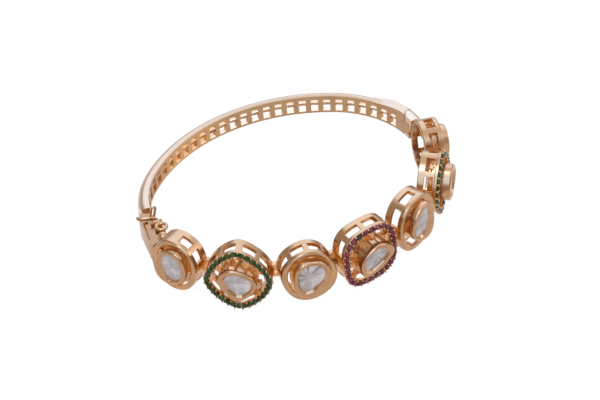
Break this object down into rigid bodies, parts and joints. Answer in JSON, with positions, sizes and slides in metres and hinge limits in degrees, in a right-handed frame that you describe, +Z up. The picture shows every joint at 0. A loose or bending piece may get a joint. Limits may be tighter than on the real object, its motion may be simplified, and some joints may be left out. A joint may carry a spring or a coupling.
{
  "type": "kundan bracelet",
  "caption": "Openable kundan bangle: pierced half-round back band hinged to a front row of soldered settings with flat uncut stones and small-stone halos; box clasp and safety catch.",
  "frame": {"origin": "centre of the bounding box, on the surface that the bangle lies on", "axes": "+Z up from the surface, -Y towards the front centre setting, +X towards the hinge"},
  "size_m": [0.0684, 0.056, 0.0144],
  "materials": {
    "rose_gold": "polished rose-coloured gold alloy",
    "green_stone": "faceted dark green stones in a gold rail",
    "ruby_stone": "faceted dark red stones in a gold rail",
    "polki": "flat uncut greyish stones over foil"
  },
  "bodies": {
    "band": {"back_band": "rose_gold", "hinge_pin": "rose_gold"},
    "front": {"front_frame": "rose_gold", "green_halo_left": "green_stone", "ruby_halo_centre": "ruby_stone", "green_halo_right": "green_stone", "polki_1": "polki", "polki_2": "polki", "polki_3": "polki", "polki_4": "polki", "polki_5": "polki", "polki_6": "polki", "polki_7": "polki"},
    "catch": {"safety_catch": "rose_gold"}
  },
  "joints": [
    {"name": "main_hinge", "type": "hinge", "parent": "band", "child": "front", "pos_m": [0.03052, 0.00134, 0.00665], "axis": [0, 0.0764, 0.9971], "range_deg": [0, 42]},
    {"name": "safety_catch_hinge", "type": "hinge", "parent": "front", "child": "catch", "pos_m": [-0.02946, 0.00426, 0.00906], "axis": [-0.9906, 0.1362, -0.0104], "range_deg": [0, 80]}
  ]
}
